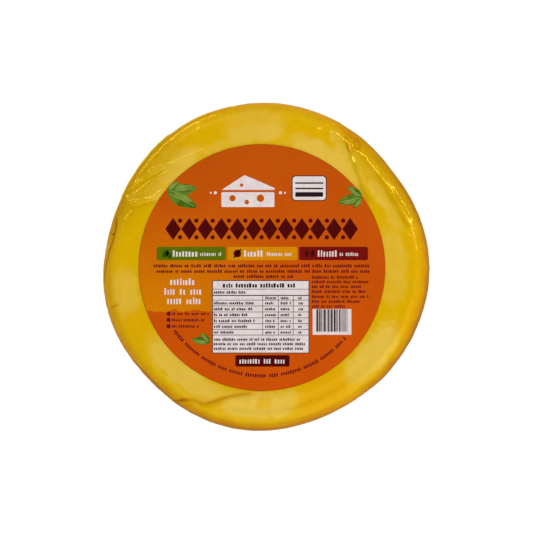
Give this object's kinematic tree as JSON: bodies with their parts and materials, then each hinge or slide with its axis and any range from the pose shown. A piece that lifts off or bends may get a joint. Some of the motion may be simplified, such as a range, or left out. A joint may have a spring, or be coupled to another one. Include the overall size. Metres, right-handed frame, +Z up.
{
  "type": "provolone cheese",
  "caption": "Low round wheel of yellow provolone, sealed tightly in clear creased shrink film, with a round orange paper label stuck on its flat top.",
  "frame": {"origin": "middle of the flat foot that the wheel rests on, at the centre of its outline's bounding box", "axes": "+Z up through the flat top with the label, +Y towards the top edge of the label's print, +X to its right"},
  "size_m": [0.1156, 0.1164, 0.0231],
  "materials": {
    "wrapped_cheese": "yellow cheese seen through clear glossy film",
    "cheese": "smooth moist cheese, mottled from pale to deep yellow",
    "clear_film": "clear glossy shrink film with sharp creases",
    "label_paper": "coated paper printed orange, with a faint sheen",
    "label_ink": "printed shapes on the label"
  },
  "bodies": {
    "root": {"wrapped_cheese": "wrapped_cheese", "label": "label_paper"}
  },
  "joints": []
}
